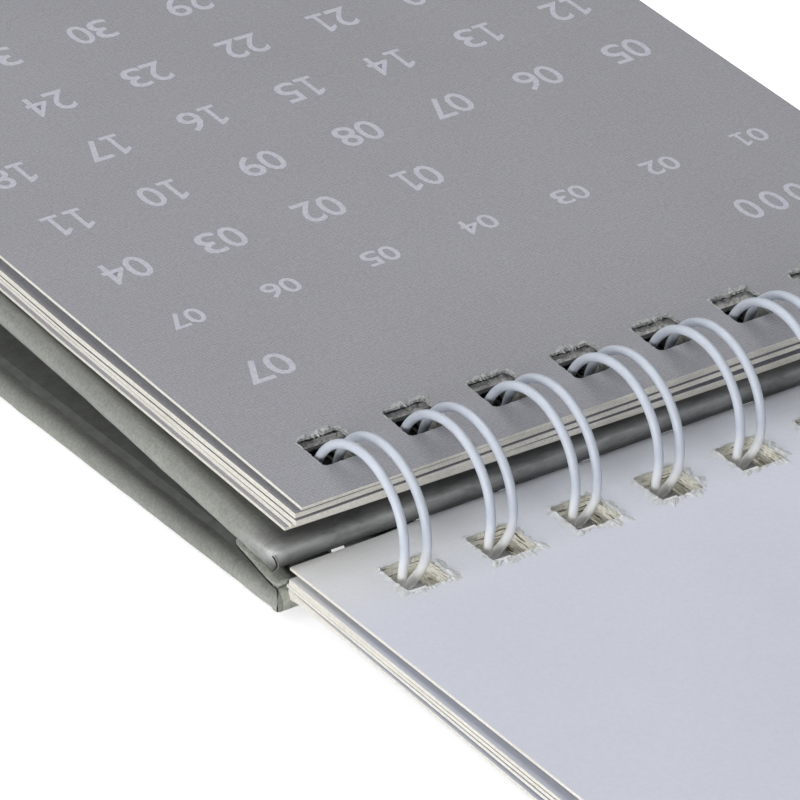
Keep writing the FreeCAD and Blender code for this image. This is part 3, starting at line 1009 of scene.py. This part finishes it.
def near_flap(x0, u0, top, thick, x_from, x_to, out, deep, seed):
    """The fold of wrapping over the board's near edge, from its upper to its lower face."""
    radius, mid = thick / 2.0 + out, top - thick / 2.0
    rows = []
    xs = [x_from + 0.25 * k for k in range(9)]
    while xs[-1] < x_to - 2.5:
        xs.append(xs[-1] + 2.5)
    xs.append(x_to)
    for i, x in enumerate(xs):
        row = []
        for k in range(-3, 14):
            if k < 0:
                u, n = u0 + radius - k / 3.0 * (deep - radius), top + out
            elif k > 10:
                u, n = u0 + radius + (k - 10) / 3.0 * (deep - radius), top - thick - out
            else:
                a = math.pi * k / 10.0
                u, n = u0 + radius - out - radius * math.sin(a), mid + radius * math.cos(a)
            rag = 0.10 * noise.noise(Vector((k * 0.6, seed, 0))) if i == 0 else 0.0
            lump = 0.05 * noise.noise(Vector((x * 0.8, k * 0.35, seed)))
            row.append(Vector((x + rag, u + lump, n + lump)))
        rows.append(row)
    return patch(rows, 0.08)


def panel(name, x0, u0, top, hole_u, deg, body, replaces, seed, mitred, mat, taper=0.0):
    bm = rounded_board(x0, BOARD_W, u0, FAR_U, top, BOARD_T, BOARD_R + 0.05, hole_u, HOLE, seed, mitred, taper)
    seat(bm, deg)
    ob = to_object(name, bm, (mat,), body, replaces, smooth=True)
    ob.data.set_sharp_from_angle(angle=math.radians(50))
    return ob


def lining_sheet(name, board_x, face, hole_u, board_u, deg, body, replaces, seed, feathered):
    rng = random.Random(seed)
    x0, x1 = board_x + LINING_IN, board_x + BOARD_W - LINING_IN
    u0, u1 = board_u + LINING_U, FAR_U - LINING_FAR
    loops = [[(x0, u0), (x1, u0), (x1, u1), (x0, u1)]]
    loops += [square_loop(cx, hole_u, LINING_HOLE, rng) for cx in hole_xs()]

    def thick(x, u):
        """A feathered sheet thins out to nothing at its rim."""
        rim = min(x - x0, x1 - x, u - u0, u1 - u)
        return LINING_T * min(1.0, 0.05 + max(0.0, rim) / 0.8) if feathered else LINING_T

    def height(x, u):
        return face - LINING_T + thick(x, u)
    bm = leaf_sheet(loops, thick, height, [x0 + 0.8, x1 - 0.8] + [x0 + 10 * k for k in range(1, 7)],
                    [u0 + 0.8, u1 - 0.8] + [u0 + 8 * k for k in range(1, 10)], (0, 0, 0))
    seat(bm, deg)
    to_object(name, bm, ("lining",), body, replaces)


def base_half(name, board_x, top, deg, body, replaces, seed, taper=0.0):
    u1 = FAR_U - BASE_END
    bm = rounded_board(board_x + BASE_SIDE + taper, BOARD_W - 2 * BASE_SIDE - taper, u1 - BASE_L, u1, top, BASE_T,
                       BASE_R, None, HOLE, seed)
    seat(bm, deg)
    to_object(name, bm, ("wrap",), body, replaces, smooth=True)


def folded_corners():
    """How the wrapping is folded at the two near left corners."""
    # back board: the turned-in edge, the mitre's join drawn as a dark tube of painted shadow, and the rougher flap
    # over the near edge
    x, u, t, r = BACK_X, BACK_U, BACK_N, BOARD_R
    edge_at = ((0.75, 0.52), (1.5, 0.60), (2.5, 0.74), (3.6, 0.92), (4.8, 1.12), (6.0, 1.32), (7.2, 1.52),
               (8.2, 1.68))
    seam_line = smooth_line([(x + a, u + b, t + 0.01) for b, a in reversed(edge_at)] + [
        (x + 0.36, u + 0.42, t - 0.20), (x + 0.14, u + 0.12, t - 0.60), (x + 0.03, u + 0.00, t - 1.05),
        (x + 0.10, u + 0.05, t - 1.50)])
    turn_in = patch([[Vector((x + a + w + 0.06 * noise.noise(Vector((b, w, 4))), u + b, t + c))
                      for w, c in ((0.02, 0.06), (0.16, 0.22), (0.7, 0.27), (1.5, 0.27), (2.4, 0.24))]
                     for b, a in edge_at]
                    + [[Vector((x + 1.95 + w, u + 8.7 + 0.2 * w, t + c))
                        for w, c in ((0.02, 0.06), (0.16, 0.22), (0.7, 0.27), (1.5, 0.27), (2.4, 0.24))]], 0.10)
    flap = near_flap(x, u, t, BOARD_T, x + 0.55, x + BOARD_W - 0.6, 0.09, 1.5, 3.0)
    trim("back_corner_folds", [(tube(seam_line, 0.06, 8), 1), (turn_in, 0), (flap, 0)], ("fold", "painted_shadow_seam"),
         BACK_TILT, "back")
    # front board: a short curved slit, drawn as a dark tube of painted shadow, beside a small raised lip
    x, u, t = FRONT_X, FRONT_U, FRONT_N
    slit = smooth_line(((x + 0.52, u + 0.36, t - 0.40), (x + 0.66, u + 0.16, t - 0.72), (x + 0.76, u + 0.07, t - 1.15),
                        (x + 0.74, u + 0.14, t - 1.55), (x + 0.62, u + 0.40, t - 1.90)))
    lip = smooth_line(((x + 0.72, u + 0.26, t - 0.36), (x + 0.84, u + 0.10, t - 0.72), (x + 0.92, u + 0.03, t - 1.15),
                       (x + 0.92, u + 0.10, t - 1.58), (x + 0.84, u + 0.34, t - 1.93)))
    trim("front_corner_folds", [(tube(slit, 0.055, 8), 1), (tube(lip, 0.045, 8), 0)], ("wrap", "painted_shadow_seam"),
         FRONT_TILT, "front")


def boards():
    panel("back_board", BACK_X, BACK_U, BACK_N, BACK_HOLE_U, BACK_TILT, "back", "back_panel", 1, True, "low")
    panel("front_board", FRONT_X, FRONT_U, FRONT_N, FRONT_HOLE_U, FRONT_TILT, "front", "front_panel", 2, False,
          "nose", FRONT_TAPER)
    folded_corners()
    lining_sheet("back_endpaper", BACK_X, BACK_N + LINING_T, BACK_HOLE_U, BACK_U, BACK_TILT, "back",
                 "back_lining", 3, True)
    inner = FRONT_N - BOARD_T
    lining_sheet("front_endpaper", FRONT_X, inner, FRONT_HOLE_U, FRONT_U, FRONT_TILT, "front",
                 "front_lining", 4, False)
    base_half("base_rear_board", BACK_X, BACK_N + LINING_T + BASE_GAP + BASE_T, BACK_TILT, "base_rear_half",
              "base_rear", 5)
    base_half("base_front_board", FRONT_X, inner - LINING_T - BASE_GAP, FRONT_TILT, "base_front_half",
              "base_front", 6, FRONT_TAPER)


# ------------------------------------------------------------------ studio
FLOOR_GLOW, WORLD_LIGHT = 0.62, 0.26
LAMPS = (("low", (-0.44, -0.30, 0.07), 0.24, 2.1),       # name, place, size and power
         ("left", (-0.46, 0.02, 0.30), 0.40, 1.1),
         ("high", (0.04, 0.17, 0.60), 0.50, 1.95))
LAMPS_AT = (0, 0.01, 0.005)


def studio():
    bm = bmesh.new()
    bmesh.ops.create_grid(bm, x_segments=1, y_segments=1, size=3.0)
    mesh = bpy.data.meshes.new("floor")
    bm.to_mesh(mesh)
    bm.free()
    floor = bpy.data.objects.new("floor", mesh)
    bpy.context.collection.objects.link(floor)
    mat = bpy.data.materials.new("floor")
    mat.use_nodes = True
    t = mat.node_tree
    bsdf = t.nodes["Principled BSDF"]
    bsdf.inputs["Base Color"].default_value = (0.80, 0.80, 0.80, 1)
    bsdf.inputs["Roughness"].default_value = 0.9
    bsdf.inputs["Specular IOR Level"].default_value = 0.0
    path = t.nodes.new("ShaderNodeLightPath")
    seen = path.outputs["Is Camera Ray"]
    for ray in ("Is Glossy Ray", "Is Transmission Ray"):
        either = t.nodes.new("ShaderNodeMath")
        either.operation = "MAXIMUM"
        t.links.new(seen, either.inputs[0])
        t.links.new(path.outputs[ray], either.inputs[1])
        seen = either.outputs[0]
    glow = t.nodes.new("ShaderNodeMath")
    glow.operation = "MULTIPLY"
    t.links.new(seen, glow.inputs[0])
    glow.inputs[1].default_value = FLOOR_GLOW
    bsdf.inputs["Emission Color"].default_value = (1, 1, 1, 1)
    t.links.new(glow.outputs[0], bsdf.inputs["Emission Strength"])
    mesh.materials.append(mat)

    world = bpy.data.worlds.new("studio")
    bpy.context.scene.world = world
    world.use_nodes = True
    w = world.node_tree
    back = w.nodes["Background"]
    back.inputs["Color"].default_value = (0.97, 0.98, 1.0, 1)
    back.inputs["Strength"].default_value = WORLD_LIGHT
    plain = w.nodes.new("ShaderNodeBackground")
    plain.inputs["Color"].default_value = (1, 1, 1, 1)
    plain.inputs["Strength"].default_value = 1.0
    wp = w.nodes.new("ShaderNodeLightPath")
    mixer = w.nodes.new("ShaderNodeMixShader")
    w.links.new(wp.outputs["Is Camera Ray"], mixer.inputs["Fac"])
    w.links.new(back.outputs[0], mixer.inputs[1])
    w.links.new(plain.outputs[0], mixer.inputs[2])
    w.links.new(mixer.outputs[0], w.nodes["World Output"].inputs["Surface"])

    for name, pos, size, energy in LAMPS:
        lamp = bpy.data.lights.new(name, "AREA")
        lamp.size = size
        lamp.energy = energy
        ob = bpy.data.objects.new(name, lamp)
        bpy.context.collection.objects.link(ob)
        ob.location = pos
        ob.rotation_euler = (Vector(LAMPS_AT) - Vector(pos)).to_track_quat("-Z", "Y").to_euler()


unturned_leaves()
turned_leaves()
printed_face()
wire()
boards()
studio()
